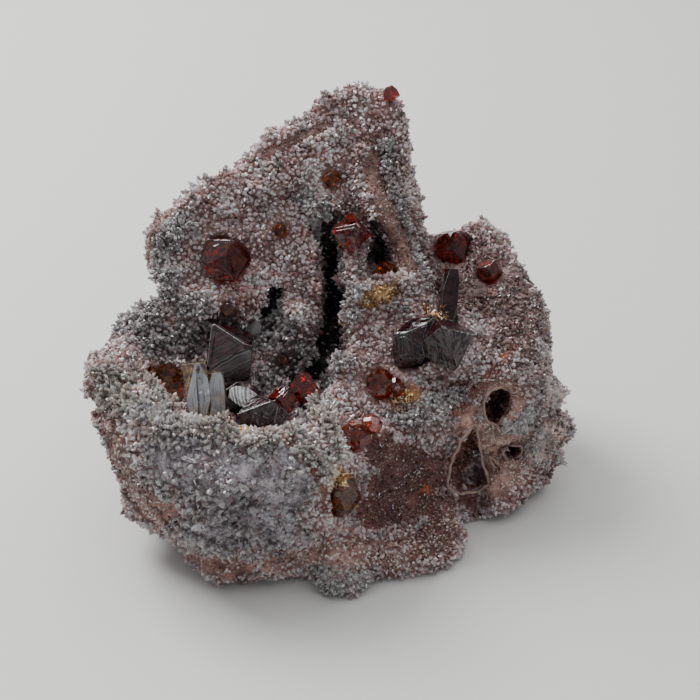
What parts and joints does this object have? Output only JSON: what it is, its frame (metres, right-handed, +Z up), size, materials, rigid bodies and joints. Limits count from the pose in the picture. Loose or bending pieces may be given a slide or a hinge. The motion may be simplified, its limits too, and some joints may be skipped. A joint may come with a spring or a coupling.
{
  "type": "sphalerite on druzy quartz mineral specimen",
  "caption": "Mineral specimen that rests on its flat foot: ruby, amber and near-black sphalerite crystals on a cavernous, ridged matrix of druzy quartz",
  "frame": {"origin": "on the resting surface, under the middle of the bounding box", "axes": "+X along the specimen's length to the viewer's right, +Y to its back, +Z up"},
  "size_m": [0.0972, 0.076, 0.0738],
  "materials": {
    "druzy_quartz": "sparkling crust of fine quartz points",
    "sphalerite_ruby": "glossy crystal faces, translucent",
    "sphalerite_dark": "glossy, almost metallic crystal faces",
    "sphalerite_amber": "glossy crystal faces, translucent"
  },
  "bodies": {
    "root": {"druzy_quartz_matrix": "druzy_quartz", "sphalerite_amber_basin": "sphalerite_amber", "sphalerite_amber_brown": "sphalerite_amber", "sphalerite_amber_gem": "sphalerite_amber", "sphalerite_bead_lower": "sphalerite_ruby", "sphalerite_bead_upper": "sphalerite_ruby", "sphalerite_big_dark": "sphalerite_dark", "sphalerite_black_twin": "sphalerite_dark", "sphalerite_dark_front": "sphalerite_dark", "sphalerite_deep_red": "sphalerite_ruby", "sphalerite_deep_upper": "sphalerite_ruby", "sphalerite_orange_fragment": "sphalerite_amber", "sphalerite_orange_small": "sphalerite_amber", "sphalerite_peak": "sphalerite_ruby", "sphalerite_pocket": "sphalerite_amber", "sphalerite_ruby_left": "sphalerite_ruby", "sphalerite_ruby_right": "sphalerite_ruby", "sphalerite_ruby_small": "sphalerite_ruby", "sphalerite_septum": "sphalerite_ruby", "sphalerite_silver_twin": "sphalerite_dark", "sphalerite_small_red": "sphalerite_ruby", "sphalerite_striated": "sphalerite_dark"}
  },
  "joints": []
}
